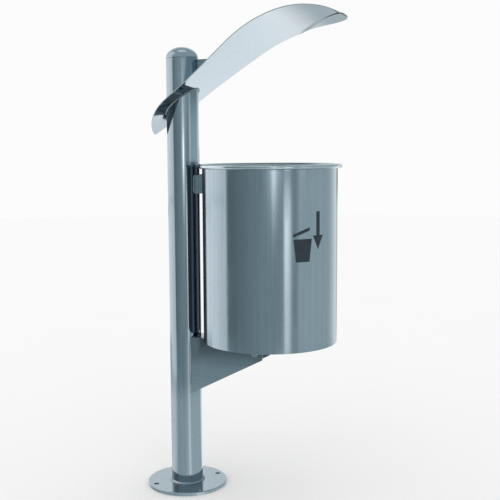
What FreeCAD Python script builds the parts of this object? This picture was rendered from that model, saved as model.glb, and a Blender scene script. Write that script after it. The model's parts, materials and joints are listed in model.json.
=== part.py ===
"""Post-mounted stainless litter bin with a curved rain roof.

The frame is +Z up with its origin on the ground at the centre of the base
flange. +X runs from the post to the bin. All sizes are in millimetres.
"""
import FreeCAD, Part
import Sketcher
import math
import os
import re

from FreeCAD import Placement, Rotation, Vector

doc = FreeCAD.newDocument("LitterBin")

# ---------------------------------------------------------------- dimensions

DIMENSIONS = [
    # post and foot
    ("post_diameter", 76.1),
    ("post_wall", 2.0),
    ("post_top", 1030.0),
    ("cap_rise", 27.0),
    ("cap_skirt", 12.0),
    ("cap_clearance", 0.1),
    ("flange_diameter", 192.0),
    ("flange_thickness", 8.0),
    ("flange_drain", 50.0),
    ("flange_edge_break", 1.0),
    ("anchor_hole", 12.0),
    ("anchor_circle", 162.0),
    ("base_weld_leg", 5.0),
    ("base_weld_fullness", 0.6),
    # bin
    ("bin_diameter", 311.0),
    ("bin_wall", 1.5),
    ("bin_gap", 23.2),
    ("bin_floor_height", 373.4),
    ("bin_height", 411.4),
    ("rim_reach", 10.0),
    ("rim_depth", 10.0),
    ("rim_rounding", 2.5),
    ("floor_thickness", 2.0),
    ("floor_clearance", 0.05),
    ("drain_hole", 8.0),
    ("drain_circle", 190.0),
    # lower bracket that carries the bin
    ("bracket_width", 58.0),
    ("bracket_plate", 3.0),
    ("bracket_reach", 207.0),
    ("bracket_tip_height", 328.7),
    ("bracket_slope", 0.519),
    ("bracket_web_reach", 165.0),
    ("rest_pad_thickness", 2.0),
    ("rest_pad_length", 92.0),
    ("rest_pad_width", 30.0),
    ("rest_pad_inset", 5.0),
    ("seating_gap", 0.1),
    ("bracket_weld_radius", 3.0),
    # tilting hinge
    ("pivot_reach", 190.0),
    ("pivot_drop", 28.4),
    ("hinge_bolt", 10.0),
    ("running_clearance", 0.05),
    ("touch_gap", 0.02),
    ("hinge_washer", 1.5),
    ("hinge_washer_diameter", 20.0),
    ("lug_plate", 3.0),
    ("lug_radius", 11.0),
    ("lug_foot_width", 16.0),
    ("lug_foot_length", 34.0),
    ("lug_screw", 6.0),
    ("lug_screw_pitch", 20.4),
    ("lug_nut_flats", 10.0),
    ("lug_nut_height", 4.8),
    ("bolt_head_diameter", 17.0),
    ("bolt_head_height", 5.0),
    ("bolt_socket_flats", 6.0),
    ("bolt_socket_depth", 3.0),
    ("bolt_end", 3.0),
    ("nut_flats", 16.0),
    ("nut_height", 8.0),
    ("sleeve_diameter", 16.0),
    # arm with the lock
    ("arm_bottom", 715.0),
    ("arm_top", 758.0),
    ("arm_width", 34.0),
    ("arm_reach", 60.0),
    ("lock_reach", 48.0),
    ("lock_offset", 6.0),
    ("lock_barrel", 12.0),
    ("lock_barrel_length", 17.0),
    ("lock_head", 16.0),
    ("lock_head_height", 2.5),
    ("lock_core", 8.0),
    ("lock_key_depth", 6.0),
    ("lock_key_size", 2.9),
    ("lock_key_recess", 0.5),
    ("lock_nut_flats", 15.0),
    ("lock_nut_height", 4.0),
    ("cam_length", 12.0),
    ("cam_width", 6.0),
    ("cam_hub", 12.0),
    ("cam_thickness", 3.0),
    ("cam_square", 5.0),
    ("cam_screw_head", 7.0),
    ("cam_screw_height", 2.5),
    # keeper on the bin
    ("keeper_sheet", 2.0),
    ("keeper_width", 26.0),
    ("keeper_bottom", 713.0),
    ("keeper_height", 20.0),
    ("keeper_tongue_rise", 13.0),
    ("keeper_tongue_width", 10.0),
    ("keeper_tongue_shift", 7.0),
    ("keeper_lip_reach", 40.0),
    ("keeper_lip_top", 742.5),
    ("keeper_lip_thickness", 3.0),
    ("rivet_diameter", 4.8),
    ("rivet_head", 9.0),
    ("rivet_head_height", 1.4),
    ("rivet_spread", 17.0),
    ("rivet_drop", 2.0),
    ("rivet_stand_off", 0.8),
    # roof
    ("roof_sheet", 2.0),
    ("roof_axis_height", 932.6),
    ("roof_slope", 36.2),
    ("roof_rear_bend_start", -15.0),
    ("roof_rear_bend_radius", 204.0),
    ("roof_rear_reach", 74.0),
    ("roof_front_bend_start", 156.0),
    ("roof_front_bend_radius", 350.0),
    ("roof_tip_bend_radius", 100.0),
    ("roof_front_reach", 386.0),
    ("roof_waist_place", 12.0),
    ("roof_waist_width", 187.0),
    ("roof_belly_place", 304.0),
    ("roof_belly_width", 322.0),
    ("roof_flank_handle", 75.0),
    ("roof_front_fullness", 0.63),
    ("roof_point_lean", 0.08),
    ("roof_point_width", 0.41),
    ("roof_shoulder_place", 0.34),
    ("roof_hole_gap", 0.3),
    ("roof_weld_radius", 3.0),
    ("roof_weld_height", 2.4),
    ("gusset_top", 1027.0),
    ("gusset_plate", 5.0),
    ("gusset_notch", 6.0),
    # litter sign
    ("sign_film", 0.2),
    ("sign_angle", -37.0),
    ("sign_bottom", 574.0),
    ("sign_height", 109.0),
    ("sign_half_width", 41.4),
]

sheet = doc.addObject("Spreadsheet::Sheet", "Dimensions")
for row, (alias, value) in enumerate(DIMENSIONS, start=1):
    sheet.set("A%d" % row, alias)
    sheet.set("B%d" % row, str(value))
    sheet.setAlias("B%d" % row, alias)
doc.recompute()

ALIASES = re.compile(r"\b(%s)\b" % "|".join(name for name, value in DIMENSIONS))

# Places that several sub-parts share, as expressions over the sheet.
POST_RADIUS = "post_diameter / 2"
BIN_RADIUS = "bin_diameter / 2"
BIN_AXIS = "(post_diameter / 2 + bin_gap + bin_diameter / 2)"
PIVOT_HEIGHT = "(bin_floor_height - pivot_drop)"
BRACKET_TOP = "(bin_floor_height - seating_gap - rest_pad_thickness)"
SIDE_ROOT = "sqrt((post_diameter / 2)^2 - (%s / 2)^2)"
BRACKET_ROOT_HEIGHT = ("(bracket_tip_height - bracket_slope * (bracket_reach - %s))"
                       % (SIDE_ROOT % "bracket_width"))
LUG_OUTSIDE = "(bracket_width / 2 - bracket_plate - hinge_washer - 2 * running_clearance)"
LUG_INSIDE = "(%s - lug_plate)" % LUG_OUTSIDE
WEB_BOTTOM = "(arm_top - bracket_plate)"
CAM_TOP = "(arm_top - lock_barrel_length)"
CAM_BOTTOM = "(arm_top - lock_barrel_length - cam_thickness)"
RIVET_PLACE = "keeper_bottom + keeper_height / 2 - rivet_drop"

CUT_MARGIN = 60.0        # how far the roof's section reaches past its sides
PROFILE_OVERRUN = 6.0    # how far the roof's end bends run past its outline
EDGE_MATCH = 0.01        # how near an edge must be to the size asked for


def cells(expression):
    """The expression with every alias turned into a reference to its cell."""
    return ALIASES.sub(r"Dimensions.\1", expression)


def size(expression):
    """The value of an expression over the sheet, for shapes made in code."""
    return float(sheet.evalExpression(cells(expression)))


def bind(item, **expressions):
    """Drive properties of an object, or its place (x, y, z), from the sheet."""
    for name, expression in expressions.items():
        path = ".Placement.Base." + name if name in ("x", "y", "z") else name
        item.setExpression(path, cells(expression))
    return item


# ------------------------------------------------------------- small helpers

subparts = []


def keep(item, label):
    """Name a finished sub-part. Its label is the name of its file."""
    item.Label = label
    subparts.append(item)
    return item


def box(name, **expressions):
    return bind(doc.addObject("Part::Box", name), **expressions)


def cylinder(name, axis="z", **expressions):
    item = doc.addObject("Part::Cylinder", name)
    turns = {"z": Rotation(), "y": Rotation(Vector(1, 0, 0), -90), "x": Rotation(Vector(0, 1, 0), 90)}
    item.Placement = Placement(Vector(), turns[axis])
    return bind(item, **expressions)


def hexagon(name, flats, height, **place):
    """A hexagonal prism along Z with the given size across flats."""
    item = doc.addObject("Part::Prism", name)
    item.Polygon = 6
    return bind(item, Circumradius="(%s) / 2 / cos(30)" % flats, Height=height, **place)


def cut(name, base, tool):
    item = doc.addObject("Part::Cut", name)
    item.Base, item.Tool = base, tool
    return item


def fuse(name, *shapes):
    item = doc.addObject("Part::MultiFuse", name)
    item.Shapes = list(shapes)
    return item


def common(name, *shapes):
    item = doc.addObject("Part::MultiCommon", name)
    item.Shapes = list(shapes)
    return item


def group(name, *shapes):
    """Separate solids that share one node."""
    item = doc.addObject("Part::Compound", name)
    item.Links = list(shapes)
    return item


def new_body(name):
    return doc.addObject("PartDesign::Body", name)


def plane_of(body, role):
    return next(item for item in body.Origin.OriginFeatures if item.Role == role)


def sketch_on(body, name, role):
    sketch = body.newObject("Sketcher::SketchObject", name)
    sketch.AttachmentSupport = [(plane_of(body, role), "")]
    sketch.MapMode = "FlatFace"
    return sketch


def pin_point(sketch, geometry, position, across, up):
    """Hold one point of a sketch at a place given by two expressions."""
    for kind, expression in (("DistanceX", across), ("DistanceY", up)):
        index = sketch.addConstraint(
            Sketcher.Constraint(kind, -1, 1, geometry, position, size(expression)))
        sketch.setExpression("Constraints[%d]" % index, cells(expression))


def circle_in(sketch, radius, across="0", up="0"):
    centre = Vector(size(across), size(up), 0)
    index = sketch.addGeometry(Part.Circle(centre, Vector(0, 0, 1), size(radius)))
    if across == "0" and up == "0":
        sketch.addConstraint(Sketcher.Constraint("Coincident", index, 3, -1, 1))
    else:
        pin_point(sketch, index, 3, across, up)
    rule = sketch.addConstraint(Sketcher.Constraint("Radius", index, size(radius)))
    sketch.setExpression("Constraints[%d]" % rule, cells(radius))
    return index


def polygon_in(sketch, corners):
    """A closed outline whose corners are pairs of expressions."""
    points = [Vector(size(across), size(up), 0) for across, up in corners]
    count = len(points)
    first = sketch.GeometryCount
    for i in range(count):
        sketch.addGeometry(Part.LineSegment(points[i], points[(i + 1) % count]))
    for i in range(count):
        after = first + (i + 1) % count
        sketch.addConstraint(Sketcher.Constraint("Coincident", first + i, 2, after, 1))
    for i, (across, up) in enumerate(corners):
        pin_point(sketch, first + i, 1, across, up)


def pad(body, name, sketch, length, midplane=False):
    item = body.newObject("PartDesign::Pad", name)
    item.Profile = sketch
    item.setExpression("Length", cells(length))
    item.Midplane = midplane
    return item


def pocket_through(body, name, sketch, length):
    """A cut that runs both ways from its sketch."""
    item = body.newObject("PartDesign::Pocket", name)
    item.Profile = sketch
    item.setExpression("Length", cells(length))
    item.Midplane = True
    return item


def revolve(body, name, sketch):
    item = body.newObject("PartDesign::Revolution", name)
    item.Profile = sketch
    item.ReferenceAxis = (sketch, ["V_Axis"])
    item.Angle = 360
    return item


def ring_edges(shape, radius, height):
    """Names of the circular edges of one radius at one height."""
    names = []
    for number, edge in enumerate(shape.Edges, start=1):
        curve = edge.Curve
        if isinstance(curve, Part.Circle) and abs(curve.Radius - radius) < EDGE_MATCH:
            if abs(edge.CenterOfMass.z - height) < EDGE_MATCH:
                names.append("Edge%d" % number)
    return names


# ------------------------------------------------------------- post and foot

def make_post_tube():
    body = new_body("PostTube")
    sketch = sketch_on(body, "PostTubeSection", "XY_Plane")
    circle_in(sketch, POST_RADIUS)
    circle_in(sketch, "post_diameter / 2 - post_wall")
    pad(body, "PostTubeLength", sketch, "post_top - flange_thickness")
    bind(body, z="flange_thickness")
    return keep(body, "post_tube")


def make_post_cap():
    """Domed cap: half an ellipsoid shell with a skirt that plugs the tube."""
    dome = doc.addObject("Part::Ellipsoid", "CapDome")
    dome.Angle1 = 0
    bind(dome, Radius1="cap_rise", Radius2=POST_RADIUS, Radius3=POST_RADIUS, z="post_top")
    hollow = doc.addObject("Part::Ellipsoid", "CapHollow")
    hollow.Angle1 = 0
    inside = "post_diameter / 2 - 2 * post_wall - cap_clearance"
    bind(hollow, Radius1="cap_rise - post_wall", Radius2=inside, Radius3=inside, z="post_top")
    skirt = cylinder("CapSkirt", Radius="post_diameter / 2 - post_wall - cap_clearance",
                     Height="cap_skirt", z="post_top - cap_skirt")
    bore = cylinder("CapSkirtBore", Radius=inside, Height="cap_skirt", z="post_top - cap_skirt")
    shell = cut("CapShell", dome, hollow)
    return keep(fuse("PostCap", shell, cut("CapPlug", skirt, bore)), "post_cap")


def make_base_flange():
    body = new_body("BaseFlange")
    sketch = sketch_on(body, "FlangeDisc", "XY_Plane")
    circle_in(sketch, "flange_diameter / 2")
    circle_in(sketch, "flange_drain / 2")
    plate = pad(body, "FlangePlate", sketch, "flange_thickness")
    doc.recompute()
    edge = body.newObject("PartDesign::Chamfer", "FlangeEdge")
    rims = ring_edges(plate.Shape, size("flange_diameter / 2"), size("flange_thickness"))
    edge.Base = (plate, rims)
    edge.setExpression("Size", cells("flange_edge_break"))
    hole_sketch = sketch_on(body, "AnchorHole", "XY_Plane")
    corner = "anchor_circle / 2 * cos(45)"
    circle_in(hole_sketch, "anchor_hole / 2", corner, corner)
    hole = pocket_through(body, "AnchorHoleCut", hole_sketch, "4 * flange_thickness")
    doc.recompute()
    pattern = body.newObject("PartDesign::PolarPattern", "AnchorHoles")
    pattern.Originals = [hole]
    pattern.Axis = (hole_sketch, ["N_Axis"])
    pattern.Angle = 360
    pattern.Occurrences = 4
    body.Tip = pattern
    return keep(body, "base_flange")


def make_base_weld():
    body = new_body("BaseWeld")
    sketch = sketch_on(body, "BaseWeldSection", "XZ_Plane")
    crown = "base_weld_leg * base_weld_fullness"
    polygon_in(sketch, [
        (POST_RADIUS, "flange_thickness"),
        ("post_diameter / 2 + base_weld_leg", "flange_thickness"),
        ("post_diameter / 2 + " + crown, "flange_thickness + " + crown),
        (POST_RADIUS, "flange_thickness + base_weld_leg"),
    ])
    revolve(body, "BaseWeldRing", sketch)
    return keep(body, "base_weld")


# ---------------------------------------------------------------------- bin

def make_bin_shell():
    """Rolled wall whose top is flanged outwards and hemmed under."""
    body = new_body("BinShell")
    sketch = sketch_on(body, "BinShellSection", "XZ_Plane")
    reach = "bin_diameter / 2 + rim_reach"
    polygon_in(sketch, [
        ("bin_diameter / 2 - bin_wall", "0"),
        (BIN_RADIUS, "0"),
        (BIN_RADIUS, "bin_height - bin_wall"),
        ("bin_diameter / 2 + rim_reach - bin_wall", "bin_height - bin_wall"),
        ("bin_diameter / 2 + rim_reach - bin_wall", "bin_height - rim_depth + bin_wall"),
        ("bin_diameter / 2 + rim_reach / 2", "bin_height - rim_depth + bin_wall"),
        ("bin_diameter / 2 + rim_reach / 2", "bin_height - rim_depth"),
        (reach, "bin_height - rim_depth"),
        (reach, "bin_height"),
        ("bin_diameter / 2 - bin_wall", "bin_height"),
    ])
    turned = revolve(body, "BinShellTurned", sketch)
    doc.recompute()
    fillet = body.newObject("PartDesign::Fillet", "RimRounding")
    outer = size(reach)
    top = size("bin_height")
    edges = ring_edges(turned.Shape, outer, top)
    edges += ring_edges(turned.Shape, outer, top - size("rim_depth"))
    fillet.Base = (turned, edges)
    fillet.setExpression("Radius", cells("rim_rounding"))
    bind(body, x=BIN_AXIS, z="bin_floor_height")
    holes = [cylinder("ShellRivetHole%d" % (side + 2), axis="x", Radius="rivet_diameter / 2",
                      Height="bin_gap + bin_wall * 4", x="post_diameter / 2 + bin_gap / 2",
                      y="%d * rivet_spread / 2" % side, z=RIVET_PLACE)
             for side in (-1, 1)]
    return keep(cut("BinShellPierced", body, fuse("ShellRivetHoles", *holes)), "bin_shell")


def make_bin_floor():
    """Floor plate with a ring of drain holes and clearance for the lug screws."""
    body = new_body("BinFloor")
    sketch = sketch_on(body, "FloorDisc", "XY_Plane")
    circle_in(sketch, "bin_diameter / 2 - bin_wall - floor_clearance")
    pad(body, "FloorPlate", sketch, "floor_thickness")
    hole_sketch = sketch_on(body, "DrainHole", "XY_Plane")
    circle_in(hole_sketch, "drain_hole / 2", "drain_circle / 2 * cos(30)", "drain_circle / 2 * sin(30)")
    hole = pocket_through(body, "DrainHoleCut", hole_sketch, "4 * floor_thickness")
    doc.recompute()
    pattern = body.newObject("PartDesign::PolarPattern", "DrainHoles")
    pattern.Originals = [hole]
    pattern.Axis = (hole_sketch, ["N_Axis"])
    pattern.Angle = 360
    pattern.Occurrences = 6
    body.Tip = pattern
    bind(body, x=BIN_AXIS, z="bin_floor_height")
    holes = [screw_hole("FloorScrewHole%d" % number, along, side)
             for number, (along, side) in enumerate(screw_places())]
    return keep(cut("BinFloorPierced", body, fuse("FloorScrewHoles", *holes)), "bin_floor")


def screw_places():
    """Each lug foot has two screws: (along X, side of the hinge)."""
    return [(along, side) for side in (-1, 1) for along in (-1, 1)]


def screw_place(along, side):
    return {
        "x": "pivot_reach + %d * lug_screw_pitch / 2" % along,
        "y": "%d * (%s - lug_foot_width / 2)" % (side, LUG_INSIDE),
    }


def screw_hole(name, along, side):
    return cylinder(name, Radius="lug_screw / 2 + running_clearance", Height="2 * pivot_drop",
                    z=PIVOT_HEIGHT, **screw_place(along, side))


# --------------------------------------------------------------- lower bracket

def make_bin_bracket():
    """Folded channel, open below, that tapers from the post to the hinge.

    Its web stops short of the hinge, so that the lugs hang between its sides.
    """
    body = new_body("BinBracket")
    sketch = sketch_on(body, "BracketSide", "XZ_Plane")
    inside_post = "post_diameter / 4"
    polygon_in(sketch, [
        (inside_post, "bracket_tip_height - bracket_slope * (bracket_reach - %s)" % inside_post),
        ("bracket_reach", "bracket_tip_height"),
        ("bracket_reach", BRACKET_TOP),
        (inside_post, BRACKET_TOP),
    ])
    pad(body, "BracketBlock", sketch, "bracket_width", midplane=True)
    inner = sketch_on(body, "BracketHollow", "XZ_Plane")
    polygon_in(inner, [
        ("0", "bracket_tip_height / 2"),
        ("2 * bracket_reach", "bracket_tip_height / 2"),
        ("2 * bracket_reach", "2 * bracket_tip_height"),
        ("bracket_web_reach", "2 * bracket_tip_height"),
        ("bracket_web_reach", BRACKET_TOP + " - bracket_plate"),
        ("0", BRACKET_TOP + " - bracket_plate"),
    ])
    pocket_through(body, "BracketHollowCut", inner, "bracket_width - 2 * bracket_plate")
    round_post = sketch_on(body, "BracketPostSeat", "XY_Plane")
    circle_in(round_post, POST_RADIUS)
    pocket_through(body, "BracketPostSeatCut", round_post, "2 * bin_height")
    bolt = sketch_on(body, "BracketBoltHole", "XZ_Plane")
    circle_in(bolt, "hinge_bolt / 2 + running_clearance", "pivot_reach", PIVOT_HEIGHT)
    pocket_through(body, "BracketBoltHoleCut", bolt, "2 * bracket_width")
    # The nose is rounded about the pivot so that the floor can roll over it.
    corner = box("NoseCorner", Length="2 * pivot_drop", Width="2 * bracket_width",
                 Height="2 * pivot_drop", x="pivot_reach", y="-bracket_width", z=PIVOT_HEIGHT)
    rounding = cylinder("NoseRound", axis="y", Radius="pivot_drop - seating_gap - rest_pad_thickness",
                        Height="3 * bracket_width", x="pivot_reach", y="-1.5 * bracket_width",
                        z=PIVOT_HEIGHT)
    return keep(cut("BinBracketRounded", body, cut("NoseWaste", corner, rounding)), "bin_bracket")


def make_rest_pad():
    item = box("RestPad", Length="rest_pad_length", Width="rest_pad_width", Height="rest_pad_thickness",
               x="post_diameter / 2 + bin_gap + rest_pad_inset", y="-rest_pad_width / 2", z=BRACKET_TOP)
    return keep(item, "rest_pad")


def weld_bead(name, width, side, bottom, top):
    """Vertical bead in the corner between the post and one side of a channel of that width."""
    length = "%s - %s" % (top, bottom)
    bead = cylinder(name, Radius="bracket_weld_radius", Height=length, x=SIDE_ROOT % width,
                    y="%d * %s / 2" % (side, width), z=bottom)
    longer = length + " + 2 * bracket_weld_radius"
    lower = bottom + " - bracket_weld_radius"
    post = cylinder(name + "Post", Radius=POST_RADIUS, Height=longer, z=lower)
    plate = box(name + "Plate", Length="post_diameter", Width=width, Height=longer, x="0",
                y="-%s / 2" % width, z=lower)
    return cut(name + "Trimmed", bead, fuse(name + "Metal", post, plate))


def make_bracket_welds():
    bottom = "(%s + bracket_weld_radius)" % BRACKET_ROOT_HEIGHT
    top = "(%s - bracket_weld_radius)" % BRACKET_TOP
    beads = [weld_bead("BracketBead%d" % (side + 2), "bracket_width", side, bottom, top)
             for side in (-1, 1)]
    return keep(group("BracketWelds", *beads), "bracket_welds")


# -------------------------------------------------------------- tilting hinge

def make_hinge_lugs():
    """Two angle lugs below the floor, one inside each side of the bracket."""
    lugs = []
    for side, word in ((-1, "Near"), (1, "Far")):
        inside = LUG_INSIDE if side > 0 else "-" + LUG_OUTSIDE
        foot_y = "%s - lug_foot_width" % LUG_INSIDE if side > 0 else "-" + LUG_OUTSIDE
        plate = box("LugPlate" + word, Length="2 * lug_radius", Width="lug_plate",
                    Height="pivot_drop - seating_gap", x="pivot_reach - lug_radius", y=inside,
                    z=PIVOT_HEIGHT)
        eye = cylinder("LugEye" + word, axis="y", Radius="lug_radius", Height="lug_plate",
                       x="pivot_reach", y=inside, z=PIVOT_HEIGHT)
        foot = box("LugFoot" + word, Length="lug_foot_length", Width="lug_foot_width + lug_plate",
                   Height="lug_plate", x="pivot_reach - lug_foot_length / 2", y=foot_y,
                   z="bin_floor_height - seating_gap - lug_plate")
        pin_hole = cylinder("LugHole" + word, axis="y", Radius="hinge_bolt / 2 + running_clearance",
                            Height="3 * bracket_width", x="pivot_reach", y="-1.5 * bracket_width",
                            z=PIVOT_HEIGHT)
        holes = [screw_hole("LugScrewHole%s%d" % (word, along + 2), along, side) for along in (-1, 1)]
        blank = fuse("LugBlank" + word, plate, eye, foot)
        lugs.append(cut("Lug" + word, blank, fuse("LugHoles" + word, pin_hole, *holes)))
    return keep(group("HingeLugs", *lugs), "hinge_lugs")


def make_lug_screws():
    """Screws with flat heads below the lug feet and nuts above the floor."""
    screws = []
    for number, (along, side) in enumerate(screw_places()):
        place = screw_place(along, side)
        low = "(bin_floor_height - seating_gap - lug_plate - bolt_head_height / 2)"
        head = cylinder("LugScrewHead%d" % number, Radius="lug_screw",
                        Height="bolt_head_height / 2 - touch_gap", z=low, **place)
        shank = cylinder("LugScrewShank%d" % number, Radius="lug_screw / 2",
                         Height="bolt_head_height / 2 + lug_plate + floor_thickness + lug_screw",
                         z=low, **place)
        nut = hexagon("LugScrewNut%d" % number, "lug_nut_flats", "lug_nut_height",
                      z="bin_floor_height + floor_thickness + touch_gap", **place)
        screws.append(fuse("LugScrew%d" % number, head, shank, nut))
    return keep(group("LugScrews", *screws), "lug_screws")


def make_hinge_bolt():
    head_start = "-(bracket_width / 2 + running_clearance + bolt_head_height)"
    reach = "(bracket_width + bolt_head_height + nut_height + bolt_end)"
    shank = cylinder("HingeShank", axis="y", Radius="hinge_bolt / 2", Height=reach, x="pivot_reach",
                     y=head_start, z=PIVOT_HEIGHT)
    head = cylinder("HingeHead", axis="y", Radius="bolt_head_diameter / 2", Height="bolt_head_height",
                    x="pivot_reach", y=head_start, z=PIVOT_HEIGHT)
    socket = hexagon("HingeSocket", "bolt_socket_flats", "bolt_socket_depth")
    socket.Placement = Placement(Vector(), Rotation(Vector(1, 0, 0), -90))
    bind(socket, x="pivot_reach", y=head_start, z=PIVOT_HEIGHT)
    return keep(cut("HingeBolt", fuse("HingeBoltBlank", shank, head), socket), "hinge_bolt")


def make_hinge_nut():
    nut = hexagon("HingeNutBlank", "nut_flats", "nut_height")
    nut.Placement = Placement(Vector(), Rotation(Vector(1, 0, 0), -90))
    start = "bracket_width / 2 + running_clearance"
    bind(nut, x="pivot_reach", y=start, z=PIVOT_HEIGHT)
    bore = cylinder("HingeNutBore", axis="y", Radius="hinge_bolt / 2 + touch_gap",
                    Height="2 * nut_height", x="pivot_reach", y=start + " - nut_height / 2",
                    z=PIVOT_HEIGHT)
    return keep(cut("HingeNut", nut, bore), "hinge_nut")


def tube_along_y(name, outer, inner, length, start):
    solid = cylinder(name + "Outer", axis="y", Radius=outer, Height=length, x="pivot_reach", y=start,
                     z=PIVOT_HEIGHT)
    bore = cylinder(name + "Bore", axis="y", Radius=inner, Height="%s + 2 * hinge_washer" % length,
                    x="pivot_reach", y="%s - hinge_washer" % start, z=PIVOT_HEIGHT)
    return cut(name, solid, bore)


def make_hinge_washers():
    """Nylon washers between each side of the bracket and its lug."""
    bore = "hinge_bolt / 2 + running_clearance"
    start = "(%s + running_clearance)" % LUG_OUTSIDE
    far = tube_along_y("WasherFar", "hinge_washer_diameter / 2", bore, "hinge_washer", start)
    near = tube_along_y("WasherNear", "hinge_washer_diameter / 2", bore, "hinge_washer",
                        "-%s - hinge_washer" % start)
    return keep(group("HingeWashers", near, far), "hinge_washers")


def make_hinge_sleeve():
    """Spacer tube that holds the two lugs apart on the bolt."""
    length = "(2 * %s - 2 * running_clearance)" % LUG_INSIDE
    sleeve = tube_along_y("HingeSleeve", "sleeve_diameter / 2", "hinge_bolt / 2 + running_clearance",
                          length, "-%s / 2" % length)
    return keep(sleeve, "hinge_sleeve")


# ---------------------------------------------------------------- lock and arm

def make_lock_arm():
    """Short channel, open below, that reaches from the post to the bin."""
    block = box("ArmBlock", Length="arm_reach", Width="arm_width", Height="arm_top - arm_bottom",
                x="0", y="-arm_width / 2", z="arm_bottom")
    hollow = box("ArmHollow", Length="arm_reach + 2 * bracket_plate",
                 Width="arm_width - 2 * bracket_plate", Height="arm_top - arm_bottom",
                 x="-bracket_plate", y="-arm_width / 2 + bracket_plate",
                 z="arm_bottom - bracket_plate")
    post = cylinder("ArmPost", Radius=POST_RADIUS, Height="bin_height", z="arm_bottom - bin_height / 2")
    seat = cylinder("ArmLockHole", Radius="lock_barrel / 2 + running_clearance", Height="arm_top",
                    x="lock_reach", y="-lock_offset", z="arm_bottom")
    return keep(cut("LockArm", block, fuse("ArmCuts", hollow, post, seat)), "lock_arm")


def make_arm_welds():
    bottom = "(arm_bottom + bracket_weld_radius)"
    top = "(arm_top - bracket_weld_radius)"
    beads = [weld_bead("ArmBead%d" % (side + 2), "arm_width", side, bottom, top) for side in (-1, 1)]
    return keep(group("ArmWelds", *beads), "arm_welds")


def lock_cylinder(name, radius, height, z):
    return cylinder(name, Radius=radius, Height=height, x="lock_reach", y="-lock_offset", z=z)


def make_lock_barrel():
    """Barrel with a flat head; the turning core runs in its bore."""
    low = CAM_TOP + " + running_clearance"
    top = "arm_top + lock_head_height"
    stem = lock_cylinder("BarrelStem", "lock_barrel / 2", "%s - (%s)" % (top, low), low)
    head = lock_cylinder("BarrelHead", "lock_head / 2", "lock_head_height - touch_gap",
                         "arm_top + touch_gap")
    bore = lock_cylinder("BarrelBore", "lock_core / 2 + running_clearance", "2 * lock_barrel_length",
                         CAM_TOP + " - cam_thickness")
    return keep(cut("LockBarrel", fuse("BarrelBlank", stem, head), bore), "lock_barrel")


def make_lock_nut():
    nut = hexagon("LockNutBlank", "lock_nut_flats", "lock_nut_height", x="lock_reach",
                  y="-lock_offset", z=WEB_BOTTOM + " - lock_nut_height - touch_gap")
    bore = lock_cylinder("LockNutBore", "lock_barrel / 2 + touch_gap", "3 * lock_nut_height",
                         WEB_BOTTOM + " - 2 * lock_nut_height")
    return keep(cut("LockNut", nut, bore), "lock_nut")


def make_lock_core():
    """Turning core: a three-sided key pin above, a square for the cam below."""
    top = "(arm_top + lock_head_height - lock_key_depth)"
    low = CAM_TOP + " + running_clearance"
    plug = lock_cylinder("CorePlug", "lock_core / 2", "%s - (%s)" % (top, low), low)
    key = doc.addObject("Part::Prism", "CoreKeyPin")
    key.Polygon = 3
    bind(key, Circumradius="lock_key_size", Height="lock_key_depth - lock_key_recess", x="lock_reach",
         y="-lock_offset", z=top)
    square = box("CoreSquare", Length="cam_square", Width="cam_square",
                 Height="cam_thickness + 2 * running_clearance", x="lock_reach - cam_square / 2",
                 y="-lock_offset - cam_square / 2", z=CAM_BOTTOM + " - running_clearance")
    return keep(fuse("LockCore", plug, key, square), "lock_core")


def make_lock_cam():
    """Flat cam on the square of the core; at rest it lies clear of the keeper."""
    hub = lock_cylinder("CamHub", "cam_hub / 2", "cam_thickness", CAM_BOTTOM)
    arm = box("CamArm", Length="cam_length", Width="cam_width", Height="cam_thickness", x="lock_reach",
              y="-lock_offset - cam_width / 2", z=CAM_BOTTOM)
    opening = "cam_square + 2 * running_clearance"
    hole = box("CamHole", Length=opening, Width=opening, Height="3 * cam_thickness",
               x="lock_reach - (%s) / 2" % opening, y="-lock_offset - (%s) / 2" % opening,
               z=CAM_BOTTOM + " - cam_thickness")
    return keep(cut("LockCam", fuse("CamBlank", hub, arm), hole), "lock_cam")


def make_cam_screw():
    head = lock_cylinder("CamScrewHead", "cam_screw_head / 2", "cam_screw_height",
                         CAM_BOTTOM + " - 2 * running_clearance - cam_screw_height")
    return keep(head, "cam_screw")


def make_keeper():
    """Saddle on the wall of the bin with a tongue whose lip the cam traps."""
    saddle = cut("SaddleRing",
                 cylinder("SaddleOuter", Radius="bin_diameter / 2 + keeper_sheet", Height="keeper_height",
                          x=BIN_AXIS, z="keeper_bottom"),
                 cylinder("SaddleInner", Radius="bin_diameter / 2 + touch_gap", Height="2 * keeper_height",
                          x=BIN_AXIS, z="keeper_bottom - keeper_height / 2"))
    window = box("SaddleWindow", Length="bin_gap + 2 * keeper_sheet", Width="keeper_width",
                 Height="bin_height", x=POST_RADIUS, y="-keeper_width / 2",
                 z="keeper_bottom - bin_height / 2")
    tongue_y = "-keeper_tongue_width / 2 + keeper_tongue_shift"
    tongue = box("KeeperTongue",
                 Length="post_diameter / 2 + bin_gap - keeper_lip_reach - keeper_sheet / 2",
                 Width="keeper_tongue_width", Height="keeper_sheet", x="keeper_lip_reach", y=tongue_y,
                 z="keeper_bottom + keeper_tongue_rise")
    lip = box("KeeperLip", Length="keeper_lip_thickness", Width="keeper_tongue_width",
              Height="keeper_lip_top - keeper_bottom - keeper_tongue_rise", x="keeper_lip_reach",
              y=tongue_y, z="keeper_bottom + keeper_tongue_rise")
    holes = [cylinder("KeeperRivetHole%d" % (side + 2), axis="x", Radius="rivet_diameter / 2",
                      Height="bin_gap", x="post_diameter / 2 + bin_gap / 2",
                      y="%d * rivet_spread / 2" % side, z=RIVET_PLACE)
             for side in (-1, 1)]
    blank = fuse("KeeperBlank", common("Saddle", saddle, window), tongue, lip)
    return keep(cut("Keeper", blank, fuse("KeeperHoles", *holes)), "keeper")


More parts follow.
